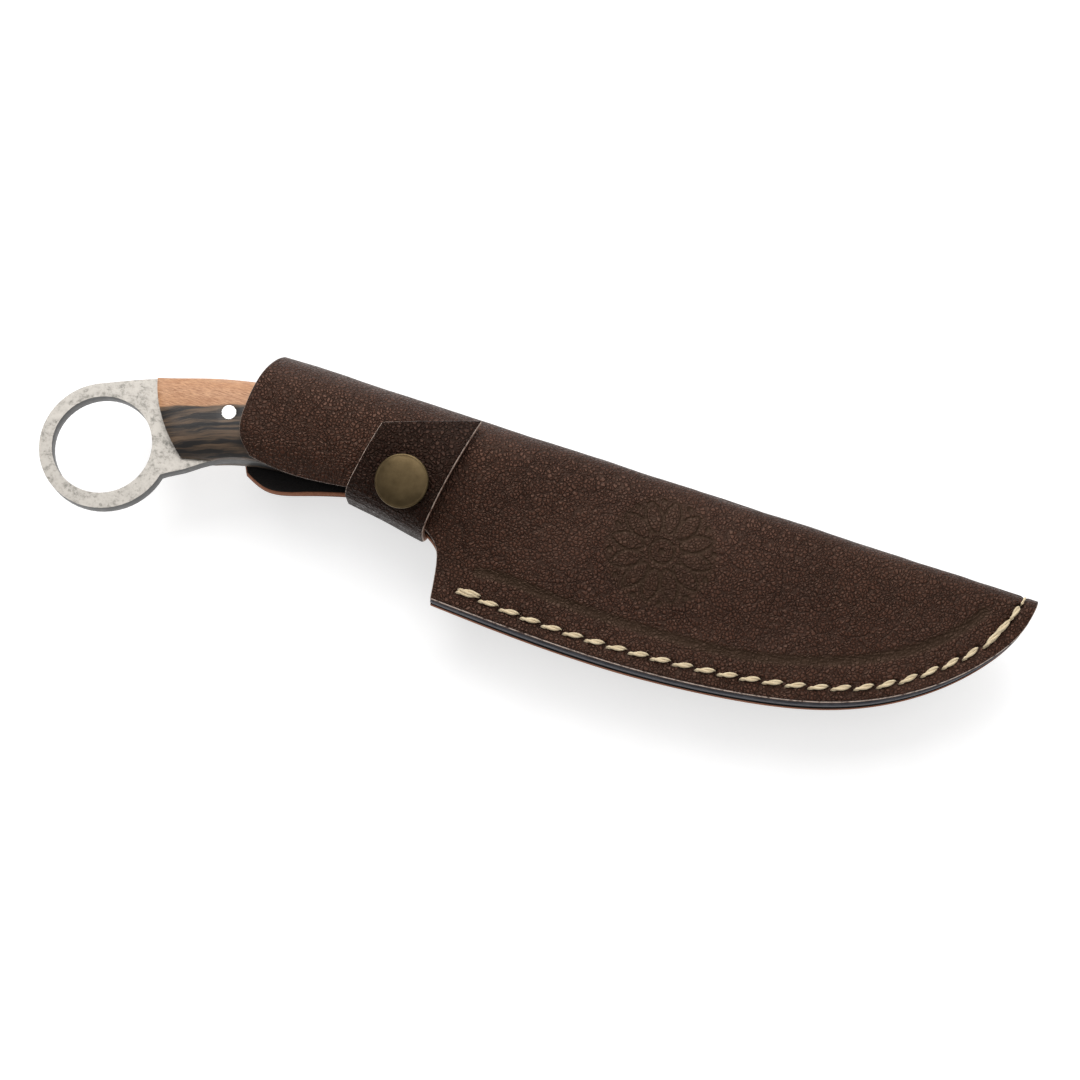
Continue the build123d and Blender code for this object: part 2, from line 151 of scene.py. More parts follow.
# ------------------------------ curves
def spline(points, step=None, count=None):
    """A smooth curve through points, sampled evenly along its length."""
    p = np.array(points, float)
    t = np.r_[0, np.cumsum(np.linalg.norm(np.diff(p, axis=0), axis=1))]
    h, n = np.diff(t), len(p)
    system, right = np.eye(n), np.zeros_like(p)
    for i in range(1, n - 1):
        system[i, i - 1:i + 2] = h[i - 1], 2 * (h[i - 1] + h[i]), h[i]
        right[i] = 6 * ((p[i + 1] - p[i]) / h[i] - (p[i] - p[i - 1]) / h[i - 1])
    bend = np.linalg.solve(system, right)
    fine = np.linspace(0, t[-1], 40 * n)
    k = np.clip(np.searchsorted(t, fine, side="right") - 1, 0, n - 2)
    a, b, hk = (t[k + 1] - fine)[:, None], (fine - t[k])[:, None], h[k][:, None]
    curve = (bend[k] * a**3 + bend[k + 1] * b**3) / (6 * hk)
    curve += (p[k] / hk - bend[k] * hk / 6) * a + (p[k + 1] / hk - bend[k + 1] * hk / 6) * b
    return even(curve, step, count)


def even(line, step=None, count=None):
    """A polyline resampled evenly along its length, at about a step or with a count of points."""
    line = np.asarray(line, float)
    run = np.r_[0, np.cumsum(np.linalg.norm(np.diff(line, axis=0), axis=1))]
    count = count or max(2, int(round(run[-1] / step)) + 1)
    at = np.linspace(0, run[-1], count)
    return np.stack([np.interp(at, run, line[:, c]) for c in range(line.shape[1])], axis=1)


def rounded(points, radius):
    """A flat polyline with its corners turned into arcs."""
    out = [np.array(points[0], float)]
    for before, here, after in zip(points, points[1:], points[2:]):
        here = np.array(here, float)
        a, b = np.array(before) - here, np.array(after) - here
        la, lb = np.linalg.norm(a), np.linalg.norm(b)
        a, b = a / la, b / lb
        turn = pi - np.arccos(np.clip(a @ b, -1, 1))
        cut = min(radius * np.tan(turn / 2), 0.45 * la, 0.45 * lb)
        start, stop = here + a * cut, here + b * cut
        for t in np.linspace(0, 1, 9):
            out.append((1 - t) ** 2 * start + 2 * t * (1 - t) * here + t**2 * stop)
    out.append(np.array(points[-1], float))
    return np.array(out)


def smooth_noise(x, y, size, seed):
    """A soft random field from a few waves of about one size, between -1 and 1."""
    rng = np.random.default_rng(seed)
    total = np.zeros(np.broadcast(x, y).shape)
    for _ in range(9):
        angle, phase, scale = rng.uniform(0, 2 * pi), rng.uniform(0, 2 * pi), rng.uniform(0.7, 1.5)
        total += np.sin((x * cos(angle) + y * sin(angle)) * 2 * pi / (size * scale) + phase)
    return total / 4.5


def distance_to(points, line):
    """Each flat point's distance to a polyline and the length along it, both in millimetres."""
    run = np.r_[0, np.cumsum(np.linalg.norm(np.diff(line, axis=0), axis=1))]
    best, along = np.full(len(points), 1e9), np.zeros(len(points))
    for a, b, start in zip(line[:-1], line[1:], run):
        ab = b - a
        length = np.linalg.norm(ab)
        t = np.clip((points - a) @ ab / length**2, 0, 1)
        d = np.hypot(*(points - a - t[:, None] * ab).T)
        nearer = d < best
        best[nearer], along[nearer] = d[nearer], (start + t * length)[nearer]
    return best, along


# ------------------------------ mesh helpers
def add_mesh(name, vertices, faces, face_materials, materials, attributes=None, merge=True):
    """A smooth-shaded mesh object with its rest places and extra values kept as attributes."""
    mesh = bpy.data.meshes.new(name)
    mesh.from_pydata(world(vertices).tolist(), [], faces)
    for material in materials:
        mesh.materials.append(material)
    mesh.polygons.foreach_set("material_index", np.asarray(face_materials, np.int32))
    mesh.polygons.foreach_set("use_smooth", np.ones(len(faces), bool))
    rest = mesh.attributes.new("rest", "FLOAT_VECTOR", "POINT")
    rest.data.foreach_set("vector", np.asarray(vertices, np.float32).ravel())
    for key, values in (attributes or {}).items():
        mesh.attributes.new(key, "FLOAT", "POINT").data.foreach_set("value", np.asarray(values, np.float32))
    bm = bmesh.new()
    bm.from_mesh(mesh)
    if merge:
        bmesh.ops.remove_doubles(bm, verts=bm.verts, dist=1e-7)
    bmesh.ops.recalc_face_normals(bm, faces=bm.faces)
    bm.to_mesh(mesh)
    bm.free()
    piece = bpy.data.objects.new(name, mesh)
    bpy.context.scene.collection.objects.link(piece)
    return piece


def grid_faces(rows, columns, offset, flip=False):
    """Quads over a grid of vertices that starts at an offset."""
    i, j = np.meshgrid(np.arange(rows - 1), np.arange(columns - 1), indexing="ij")
    a = (offset + i * columns + j).ravel()
    quads = np.stack([a, a + columns, a + columns + 1, a + 1], axis=1)
    return (quads[:, ::-1] if flip else quads).tolist()


def slab(name, outer, inner, materials, bulge=0.25, roll=0.2, rim_steps=7, attributes=None):
    """A closed sheet between two grids of points, with a rounded cut edge all round.

    materials are for the outer face, the cut edge and the inner face. The cut edge carries a value
    "cut" from 0 at the outer face to 1 at the inner one, and takes the attributes' values at the border.
    """
    rows, columns = outer.shape[:2]
    index = np.arange(rows * columns).reshape(rows, columns)
    loop = np.r_[index[0, :-1], index[:-1, -1], index[-1, :0:-1], index[:0:-1, 0]]
    o, n = outer.reshape(-1, 3).copy(), inner.reshape(-1, 3)
    inward = np.empty(len(loop), int)
    for k, v in enumerate(loop):
        i, j = divmod(v, columns)
        inward[k] = index[min(max(i, 1), rows - 2), min(max(j, 1), columns - 2)]
    tangent = np.roll(o[loop], -1, axis=0) - np.roll(o[loop], 1, axis=0)
    through = n[loop] - o[loop]
    out = np.cross(tangent, through)
    out /= np.linalg.norm(out, axis=1)[:, None] + 1e-9
    out *= np.where(np.einsum("ij,ij->i", out, o[loop] - o[inward]) < 0, -1, 1)[:, None]
    o[loop] += through / (np.linalg.norm(through, axis=1)[:, None] + 1e-9) * roll
    through = n[loop] - o[loop]
    rim = []
    for step in range(1, rim_steps):
        t = step / rim_steps
        rim.append(o[loop] + through * t + out * bulge * (1 - abs(2 * t - 1) ** 3))
    vertices = np.concatenate([o, n] + rim)
    faces = grid_faces(rows, columns, 0) + grid_faces(rows, columns, len(o), flip=True)
    kinds = [0] * ((rows - 1) * (columns - 1)) + [2] * ((rows - 1) * (columns - 1))
    rings = [loop] + [2 * len(o) + s * len(loop) + np.arange(len(loop)) for s in range(rim_steps - 1)]
    rings.append(len(o) + loop)
    for a, b in zip(rings, rings[1:]):
        quads = np.stack([a, b, np.roll(b, -1), np.roll(a, -1)], axis=1)
        faces += quads.tolist()
        kinds += [1] * len(loop)
    values = {}
    for key, grid in (attributes or {}).items():
        flat = grid.ravel()
        values[key] = np.concatenate([flat, flat] + [flat[loop]] * (rim_steps - 1))
    steps = [np.full(len(loop), (s + 1) / rim_steps) for s in range(rim_steps - 1)]
    values["cut"] = np.concatenate([np.zeros(len(o)), np.ones(len(n))] + steps)
    return add_mesh(name, vertices, faces, kinds, materials, values)


def refined(node, name, edge, material, body):
    """A CAD node's shape with softened edges, standing for that node."""
    source = frame["nodes"][node]
    piece = bpy.data.objects.new(name, source.data.copy())
    bpy.context.scene.collection.objects.link(piece)
    bm = bmesh.new()
    bm.from_mesh(piece.data)
    bmesh.ops.remove_doubles(bm, verts=bm.verts, dist=2e-6)
    bmesh.ops.dissolve_limit(bm, angle_limit=radians(0.5), verts=bm.verts, edges=bm.edges)
    bm.to_mesh(piece.data)
    bm.free()
    piece.data.materials.clear()
    piece.data.materials.append(material)
    piece.data.polygons.foreach_set("material_index", np.zeros(len(piece.data.polygons), np.int32))
    level = np.array([abs(face.normal.z) > 0.999 for face in piece.data.polygons])
    piece.data.polygons.foreach_set("use_smooth", ~level)
    soften = piece.modifiers.new("edges", "BEVEL")
    soften.width, soften.segments, soften.limit_method = edge * 0.001, 2, "ANGLE"
    soften.angle_limit, soften.harden_normals = radians(28), True
    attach(piece, body)
    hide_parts(node)


# ------------------------------ material helpers
class Look:
    """A node material on one Principled shader, with short ways to add texture nodes."""

    def __init__(self, name, **constants):
        self.material = bpy.data.materials.new(name)
        self.material.use_nodes = True
        self.nodes, self.links = self.material.node_tree.nodes, self.material.node_tree.links
        self.shader = self.nodes["Principled BSDF"]
        for key, value in constants.items():
            self.shader.inputs[key.replace("_", " ")].default_value = value

    def put(self, kind, inputs=None, **settings):
        node = self.nodes.new("ShaderNode" + kind)
        for key, value in settings.items():
            setattr(node, key, value)
        for key, value in (inputs or {}).items():
            if isinstance(value, bpy.types.NodeSocket):
                self.links.new(value, node.inputs[key])
            else:
                node.inputs[key].default_value = value
        return node

    def value(self, name):
        return self.put("Attribute", attribute_name=name).outputs["Fac"]

    def place(self):
        """Spine-frame millimetres that stay with the surface in every pose."""
        return self.put("Attribute", attribute_name="rest").outputs["Vector"]

    def object_place(self):
        """Spine-frame millimetres, from the object's own coordinates."""
        coords = self.put("TexCoord").outputs["Object"]
        shift = self.put("VectorMath", {0: coords, 1: tuple(origin)}, operation="SUBTRACT").outputs[0]
        return self.stretched(shift, (1000, 1000, 1000))

    def stretched(self, vector, scale):
        return self.put("VectorMath", {0: vector, 1: scale}, operation="MULTIPLY").outputs[0]

    def noise(self, vector, size, detail=3.0, rough=0.55, warp=0.0):
        inputs = {"Vector": vector, "Scale": 1 / size, "Detail": detail, "Roughness": rough,
                  "Distortion": warp}
        return self.put("TexNoise", inputs).outputs["Fac"]

    def cells(self, vector, size, feature="DISTANCE_TO_EDGE"):
        inputs = {"Vector": vector, "Scale": 1 / size, "Randomness": 1.0}
        return self.put("TexVoronoi", inputs, feature=feature).outputs["Distance"]

    def warped(self, vector, size, amount):
        noise = self.put("TexNoise", {"Vector": vector, "Scale": 1 / size, "Detail": 2.0}).outputs["Color"]
        centred = self.put("VectorMath", {0: noise, 1: (0.5, 0.5, 0.5)}, operation="SUBTRACT").outputs[0]
        moved = self.put("VectorMath", {0: centred, "Scale": amount}, operation="SCALE").outputs[0]
        return self.put("VectorMath", {0: vector, 1: moved}, operation="ADD").outputs[0]

    def math(self, operation, a, b=0.0):
        return self.put("Math", {0: a, 1: b}, operation=operation).outputs[0]

    def fit(self, value, low, high, to_low=0.0, to_high=1.0, smooth=False):
        kind = "SMOOTHSTEP" if smooth else "LINEAR"
        inputs = {"Value": value, "From Min": low, "From Max": high, "To Min": to_low, "To Max": to_high}
        return self.put("MapRange", inputs, interpolation_type=kind).outputs[0]

    def blend(self, factor, a, b):
        """Mixes two colours, given as sockets or as 0-255 screen colours."""
        node = self.nodes.new("ShaderNodeMix")
        node.data_type, node.blend_type, node.clamp_factor = "RGBA", "MIX", True
        for socket, value in ((node.inputs[0], factor), (node.inputs[6], a), (node.inputs[7], b)):
            if isinstance(value, bpy.types.NodeSocket):
                self.links.new(value, socket)
            else:
                socket.default_value = screen(value)
        return node.outputs[2]

    def split(self, vector):
        return self.put("SeparateXYZ", {0: vector}).outputs

    def bump(self, height, depth):
        """Surface relief of a depth in millimetres."""
        inputs = {"Height": height, "Strength": 1.0, "Distance": depth * 0.001}
        return self.put("Bump", inputs).outputs["Normal"]

    def finish(self, colour, roughness=None, normal=None):
        for key, value in (("Base Color", colour), ("Roughness", roughness), ("Normal", normal)):
            if value is not None:
                self.links.new(value, self.shader.inputs[key])
        return self.material


def screen(colour):
    """A 0-255 screen colour as the linear colour that a shader takes."""
    linear = [c / 255 / 12.92 if c <= 10 else ((c / 255 + 0.055) / 1.055) ** 2.4 for c in colour]
    return (*linear, 1.0)


# ------------------------------ leather
def leather(name, crease, body, light, grain=1.0, depth=0.26, gleam=0.48, sheen=0.34):
    """Pebbled leather: domed cells with painted shade in the wrinkles between them and at the stitch holes,
    blotches, and smooth dark pressed marks.
    """
    look = Look(name, Specular_IOR_Level=gleam, Specular_Tint=(1.0, 0.62, 0.46, 1.0))
    at = look.place()
    bent = look.warped(look.warped(at, 5.0 * grain, 1.6 * grain), 1.1 * grain, 0.35 * grain)
    small = look.cells(bent, 0.95 * grain)
    wide = look.cells(look.warped(at, 6.0 * grain, 3.0 * grain), 3.6 * grain)
    dome = look.fit(small, 0.0, 0.26, smooth=True)
    fold = look.fit(wide, 0.0, 0.09, smooth=True)
    pressed, hole_shade = look.value("press"), look.value("hole_shade")
    relief = look.math("ADD", look.math("MULTIPLY", dome, 0.75), look.math("MULTIPLY", fold, 0.4))
    relief = look.math("ADD", relief, look.math("MULTIPLY", look.noise(at, 0.45, 4.0), 0.2))
    patchy = look.fit(look.noise(at, 24.0, 2.0), 0.35, 0.65, 0.6, 1.0)
    strength = look.math("MULTIPLY", look.fit(pressed, 0.0, 1.0, 1.0, 0.3), patchy)
    relief = look.math("MULTIPLY", relief, strength)
    blotch = look.noise(at, 19.0, 4.0, 0.6)
    tint = look.blend(look.fit(blotch, 0.35, 0.68), body, light)
    # painted shade: the crease colour darkens the wrinkles between the pebbles and the wider folds
    valley_shade = look.math("MULTIPLY", look.fit(dome, 0.0, 0.7, 0.1, 1.0), look.fit(fold, 0.0, 1.0, 0.4, 1.0))
    tint = look.blend(look.math("MAXIMUM", valley_shade, look.math("MULTIPLY", pressed, 0.8)), crease, tint)
    tint = look.blend(look.fit(pressed, 0.0, 0.65), tint, (25, 16, 5))
    # painted shade: near-black colour in the stitch holes
    tint = look.blend(hole_shade, tint, (9, 6, 5))
    gloss = look.fit(look.noise(at, 2.2, 3.0), 0.3, 0.7, sheen - 0.05, sheen + 0.08)
    gloss = look.math("ADD", gloss, look.fit(dome, 0.0, 1.0, 0.2, 0.0))
    gloss = look.math("ADD", gloss, look.math("MULTIPLY", pressed, 0.12))
    return look.finish(tint, gloss, look.bump(relief, depth))


def cut_leather(name, rim, middle, dark, wear_and_highlight=(226, 205, 190)):
    """A cut leather edge: fibrous, dyed dark where "tone" says so, with a pale line at its corner that is
    partly worn leather and partly a painted highlight.
    """
    look = Look(name, Specular_IOR_Level=0.25)
    at = look.place()
    across = look.value("cut")
    fibre = look.noise(look.stretched(at, (0.35, 0.35, 2.2)), 0.45, 5.0, 0.7)
    tint = look.blend(look.fit(fibre, 0.3, 0.7), middle, rim)
    skin = look.math("MULTIPLY", look.fit(across, 0.12, 0.3, 1.0, 0.0), 0.8)
    tint = look.blend(look.math("MAXIMUM", skin, look.value("tone")), tint, dark)
    # pale line at the corner with the grain face: partly worn leather, partly painted highlight
    broken = look.fit(look.noise(at, 1.6, 4.0, 0.7), 0.36, 0.52)
    near_skin = look.fit(across, 0.22, 0.3, 1.0, 0.0)
    line = look.math("MULTIPLY", near_skin, look.math("MULTIPLY", look.value("wear_and_highlight"), broken))
    tint = look.blend(line, tint, wear_and_highlight)
    gloss = look.fit(fibre, 0.3, 0.7, 0.6, 0.8)
    return look.finish(tint, gloss, look.bump(fibre, 0.1))


def flesh_leather(name, colour, deep):
    """The rough inner side of the leather, coloured near black as painted shade."""
    look = Look(name, Specular_IOR_Level=0.15, Sheen_Weight=0.2, Sheen_Roughness=0.6)
    nap = look.noise(look.place(), 0.7, 6.0, 0.7)
    tint = look.blend(look.fit(nap, 0.3, 0.7), deep, colour)
    return look.finish(tint, None, look.bump(nap, 0.15))


brown = leather("leather_brown", (14, 6, 4), (48, 25, 17), (60, 34, 24))
strap_brown = leather("leather_strap", (5, 2, 1), (22, 9, 6), (34, 15, 10), grain=1.15, depth=0.3, gleam=0.26)
loop_brown = leather("leather_loop", (22, 10, 7), (54, 31, 23), (64, 40, 31))
cut_tan = cut_leather("leather_cut", (172, 116, 86), (128, 78, 54), (40, 25, 18))
cut_strap = cut_leather("leather_cut_strap", (172, 136, 118), (138, 100, 82), (48, 28, 21))
# painted shade: the inner side of every leather piece is coloured near black
flesh_shade = flesh_leather("leather_flesh_shade", (24, 17, 14), (11, 8, 7))

# ------------------------------ sheath surface
x_step, s_step = 0.5, 0.25
smooth_reach, smooth_w = 24, 3.5  # in stations, in millimetres
table_x = np.arange(-6.0, 208.01, x_step)
table_s = np.arange(0.0, 62.01, s_step)


def section_table():
    """The folded profile's Y, Z and outward normal at each station x and length s from the fold."""
    stations = np.array(list(sheath_sections))
    heights = np.array(list(sheath_sections.values())).T
    halves = np.stack([np.interp(table_x, stations, column) for column in heights])
    kernel = np.exp(-0.5 * (np.arange(-smooth_reach, smooth_reach + 1) * x_step / smooth_w) ** 2)
    kernel /= kernel.sum()
    padded = np.pad(halves, ((0, 0), (smooth_reach, smooth_reach)), mode="edge")
    halves = np.stack([np.convolve(row, kernel, mode="valid") for row in padded])
    ys, zs = [], []
    for column in halves.T:
        front = [(-d, h) for d, h in zip(depths, column)]
        line = spline([(y, -z) for y, z in reversed(front)] + [(0.0, 0.0)] + front, count=1200)
        half = line[len(line) // 2:]
        half[0] = (half[0, 0], 0.0)
        run = np.r_[0, np.cumsum(np.hypot(*np.diff(half, axis=0).T))]
        ys.append(np.interp(table_s, run, half[:, 0]))
        zs.append(np.interp(table_s, run, half[:, 1]))
    return np.array(ys), np.array(zs)


table_y, table_z = section_table()


def lookup(table, x, s):
    """A table's value at station x and length s, between its entries."""
    i = np.clip((x - table_x[0]) / x_step, 0, len(table_x) - 1.001)
    j = np.clip(np.abs(s) / s_step, 0, len(table_s) - 1.001)
    i0, j0 = i.astype(int), j.astype(int)
    fi, fj = i - i0, j - j0
    return ((table[i0, j0] * (1 - fi) + table[i0 + 1, j0] * fi) * (1 - fj)
            + (table[i0, j0 + 1] * (1 - fi) + table[i0 + 1, j0 + 1] * fi) * fj)


slope_y, slope_z = np.gradient(table_y, s_step, axis=1), np.gradient(table_z, s_step, axis=1)


def sheath_at(x, s):
    """Points of the sheath's outer surface and their outward normals; s is negative on the back."""
    side = np.where(s < 0, -1.0, 1.0)
    y, z = lookup(table_y, x, s), lookup(table_z, x, s) * side
    ny, nz = lookup(slope_z, x, s), -lookup(slope_y, x, s) * side
    size = np.hypot(ny, nz)
    return np.stack([x, y, z], axis=-1), np.stack([np.zeros_like(x), ny / size, nz / size], axis=-1)


def length_from_fold(x, y):
    """The length s at which the profile at x reaches depth y."""
    out = []
    for px, py in zip(x, y):
        column = lookup(table_y, np.full(len(table_s), px), table_s)
        out.append(np.interp(-py, -column, table_s))
    return np.array(out)


mouth_stations, notch_stations, belly_stations = 120, 46, 500


def lower_edge(lip, overhang):
    """A leaf's lower edge from the mouth's corner to the tip, in three runs, as (x, s) points."""
    belly = [(x, y - overhang * share) for (x, y), share in zip(belly_points, belly_shares)]
    mouth = np.concatenate([spline(lip, step=0.4)[:-1], even([lip[-1], notch_points[0]], step=0.4)])
    runs = [even(mouth, count=mouth_stations), spline(notch_points + [belly[0]], count=notch_stations),
            spline(belly, count=belly_stations)]
    line = np.concatenate([runs[0][:-1], runs[1][:-1], runs[2]])
    return line[:, 0], length_from_fold(line[:, 0], line[:, 1])


# the fold's stations are matched to the lower edge's three runs
fold_start_x, notch_start_x, notch_end_x, tip_x = 0.3, 47.0, 62.0, 204.9
top_x = np.concatenate([np.linspace(fold_start_x, notch_start_x, mouth_stations)[:-1],
                        np.linspace(notch_start_x, notch_end_x, notch_stations)[:-1],
                        np.linspace(notch_end_x, tip_x, belly_stations)])
front_rows, back_rows = 170, 80
mouth_pull = 30.0


def leaf_places(mouth, lip, overhang, rows):
    """x and s over one leaf, from the fold (first row) to the lower edge (last row)."""
    edge_x, edge_s = lower_edge(lip, overhang)
    share = np.linspace(0, 1, rows)[None, :]
    x = top_x[:, None] * (1 - share) + edge_x[:, None] * share
    s = edge_s[:, None] * share
    line = spline(mouth, count=400)
    line_s = length_from_fold(line[:, 0], line[:, 1])
    line_s[0] = 0.0
    mouth_x = np.interp(share[0] * line_s[-1], line_s, line[:, 0])
    pull = np.clip(1 - (top_x - top_x[0]) / mouth_pull, 0, 1)[:, None] ** 2
    return x + pull * (mouth_x - x[0])[None, :], s


front_x, front_s = leaf_places(mouth_front, lip_front, 0.0, front_rows)
back_x, back_s = leaf_places(mouth_back, lip_back, back_overhang, back_rows)
sheath_x = np.concatenate([back_x[:, :0:-1], front_x], axis=1)
sheath_s = np.concatenate([-back_s[:, :0:-1], front_s], axis=1)
skin, normal = sheath_at(sheath_x, sheath_s)
flesh_side = skin - normal * leather_t

# ------------------------------ stitch places
seam = spline(seam_points, step=0.1)
seam_end_way = (seam[-1] - seam[-2]) / np.hypot(*(seam[-1] - seam[-2]))
seam = np.concatenate([seam, seam[-1] + seam_end_way * np.arange(0.1, 3.0, 0.1)[:, None]])
seam_run = np.r_[0, np.cumsum(np.hypot(*np.diff(seam, axis=0).T))]
stitch_at = [(0.0, first_stitch_len)]
stitch_at += [(stitch_pitch * (i + 1), plain_stitch_len) for i in range(plain_stitches)]
for step, length in end_stitches:
    stitch_at.append((stitch_at[-1][0] + step, length))


def seam_place(run):
    """The seam's point and direction at a length along it."""
    x, y = np.interp(run, seam_run, seam[:, 0]), np.interp(run, seam_run, seam[:, 1])
    nx, ny = np.interp(run + 0.5, seam_run, seam[:, 0]), np.interp(run + 0.5, seam_run, seam[:, 1])
    bx, by = np.interp(run - 0.5, seam_run, seam[:, 0]), np.interp(run - 0.5, seam_run, seam[:, 1])
    way = np.array([nx - bx, ny - by])
    way /= np.hypot(*way)
    return np.array([x, y]), way


def stitch_ends(index):
    """The two holes of a stitch, which lies a little askew to the seam."""
    run, length = stitch_at[index]
    place, way = seam_place(run)
    turn = radians(11 if index <= plain_stitches else 3)
    askew = np.array([way[0] * cos(turn) - way[1] * sin(turn), way[0] * sin(turn) + way[1] * cos(turn)])
    return place - askew * length / 2, place + askew * length / 2


stitch_count = len(stitch_at)
stitches = [stitch_ends(i) for i in range(stitch_count)]
holes = np.array([end for pair in stitches for end in pair])

# ------------------------------ marks pressed into the leather
flat_place = skin[..., :2].reshape(-1, 2)
is_front = (sheath_s > 1.0).ravel()
press = np.zeros(len(flat_place))
sink = np.zeros(len(flat_place))
hole_shade_mask = np.zeros(len(flat_place))

near = is_front & (flat_place[:, 0] > notch_end_x)
away, along = distance_to(flat_place[near], spline(crease_points, step=1.5))
band = np.clip(1.25 - away / (crease_w / 2), 0, 1)
band = band * band * (3 - 2 * band)
streaks = 0.5 + 0.5 * np.sin(2 * pi * (away * 1.1 + along * 0.16) + 1.2 * np.sin(along * 0.5))
ghosts = np.exp(-((along % mark_pitch - mark_pitch / 2) / 0.45) ** 2 - (away / 0.7) ** 2)
press[near] = np.maximum(press[near], band * (0.65 + 0.3 * streaks) + 0.5 * ghosts)
sink[near] += band * crease_depth * (0.7 + 0.5 * streaks) + 0.08 * ghosts


def rosette(points):
    """How deep a plain twelve-rayed stamp presses, from 0 to 1."""
    dx, dy = (points - np.array(rosette_centre)).T
    r, angle = np.hypot(dx, dy), np.arctan2(dy, dx)
    sector = (angle / (2 * pi) * rosette_rays + 0.5) % 1 - 0.5
    side = np.abs(sector) * 2 * pi / rosette_rays * r
    petal_w = 2.2 * np.sin(np.clip((r - 4.6) / (rosette_r - 5.6), 0, 1) * pi) ** 0.7
    petal = np.clip(0.5 - (np.abs(side - petal_w) - 0.42) / 0.35, 0, 1) * (r > 4.6) * (r < rosette_r - 1)
    ring = np.clip(0.5 - (np.abs(r - 3.2) - 0.4) / 0.35, 0, 1)
    dot = np.clip(0.5 - (r - 0.9) / 0.35, 0, 1)
    half = ((angle / (2 * pi) * rosette_rays) % 1 - 0.5) * 2 * pi / rosette_rays * r
    bead = np.clip(0.5 - (np.hypot(half, r - rosette_r + 1.2) - 0.75) / 0.35, 0, 1)
    return np.max([petal, ring, dot, bead], axis=0)


close = is_front & (np.hypot(*(flat_place - np.array(rosette_centre)).T) < rosette_r + 2)
stamp = rosette(flat_place[close])
reach = np.hypot(*(flat_place[close] - np.array(rosette_centre)).T)
halo = 0.3 * np.clip((rosette_r + 0.8 - reach) / 1.6, 0, 1)
press[close] = np.maximum(press[close], np.maximum(stamp, halo))
sink[close] += rosette_depth * stamp

# each stitch hole sinks the surface and gets a mask of painted shade
for end in holes:
    r2 = np.sum((flat_place - end) ** 2, axis=1)
    sink += hole_depth * np.exp(-r2 / hole_r**2)
    hole_shade_mask = np.maximum(hole_shade_mask, np.exp(-r2 / hole_shade_r**2) * 1.3)
seam_away, _ = distance_to(flat_place[near], seam[::12])
sink[near] += seam_groove_depth * np.exp(-(seam_away / seam_groove_w) ** 2)

wave = smooth_noise(flat_place[:, 0], flat_place[:, 1] + 40 * (~is_front), 26, 3) * 0.16
wave += smooth_noise(flat_place[:, 0], flat_place[:, 1], 9, 5) * 0.04
strap_ways = np.array([[cos(strap_turn), sin(strap_turn)], [-sin(strap_turn), cos(strap_turn)]])
strap_uv = (flat_place - np.array(strap_corner)) @ strap_ways.T
calm = np.clip(np.abs(strap_uv[:, 0] - strap_w / 2) / strap_w, 0, 1)
edge_fade = np.minimum(1.0, np.minimum(sheath_s.max(axis=1, keepdims=True) - sheath_s, 4.0) / 4.0).ravel()
wave *= calm * np.clip(edge_fade, 0, 1)
skin = skin - normal * (sink + wave).reshape(sheath_x.shape)[..., None]

rim_tone, rim_wear_and_highlight = np.zeros(sheath_x.shape), np.zeros(sheath_x.shape)
belly_start = mouth_stations + notch_stations - 2
rim_tone[:, back_rows - 6:] = 0.85
# the pale corner line on the cut edges is partly wear and partly painted highlight
rim_wear_and_highlight[:, back_rows - 6:] = 0.55
rim_wear_and_highlight[belly_start:, back_rows:] = 1.0
marks = {"press": press, "hole_shade": np.clip(hole_shade_mask, 0, 1), "tone": rim_tone, "wear_and_highlight": rim_wear_and_highlight}
sheath = slab("sheath_body", skin, flesh_side, [brown, cut_tan, flesh_shade], bulge=0.18, roll=0.22,
              attributes={key: grid.reshape(sheath_x.shape) for key, grid in marks.items()})
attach(sheath, "sheath")
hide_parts("sheath_leather")

# ------------------------------ welt
look = Look("welt_edge", Specular_IOR_Level=0.3)
lines = look.noise(look.stretched(look.place(), (0.15, 0.15, 3.0)), 0.5, 4.0, 0.65)
welt_grey = look.finish(look.blend(look.fit(lines, 0.3, 0.7), (58, 58, 64), (104, 104, 110)),
                        look.fit(lines, 0.3, 0.7, 0.5, 0.75), look.bump(lines, 0.12))
welt_belly = [(x, y - back_overhang / 2 * share) for (x, y), share in zip(belly_points, belly_shares)]
welt_out = spline(welt_belly[:-1] + [(204.0, -5.0)], count=420)
welt_in = spline(welt_inner, count=420)
share = np.linspace(0, 1, 10)[None, :, None]
welt_flat = welt_out[:, None, :] * (1 - share) + welt_in[:, None, :] * share
welt_top = np.concatenate([welt_flat, np.full(welt_flat.shape[:2] + (1,), welt_t / 2)], axis=2)
welt_low = welt_top * np.array([1, 1, -1])
welt = slab("sheath_welt", welt_top, welt_low, [welt_grey] * 3, bulge=0.2, roll=0.25)
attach(welt, "sheath")
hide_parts("edge_welt")

# ------------------------------ thread
look = Look("thread_waxed", Specular_IOR_Level=0.3, Sheen_Weight=0.2, Sheen_Roughness=0.5)
fibre_way = look.put("CombineXYZ", {"X": look.value("length"), "Y": look.value("turn")}).outputs[0]
fibres = look.noise(look.stretched(fibre_way, (0.35, 9.0, 1.0)), 1.0, 4.0, 0.65)
soil = look.noise(look.place(), 2.2, 3.0)
tint = look.blend(look.fit(fibres, 0.32, 0.68), (190, 166, 128), (240, 224, 190))
tint = look.blend(look.fit(soil, 0.5, 0.8, 0.0, 0.3), tint, (168, 138, 98))
thread = look.finish(tint, look.fit(fibres, 0.3, 0.7, 0.55, 0.75), look.bump(fibres, 0.06))


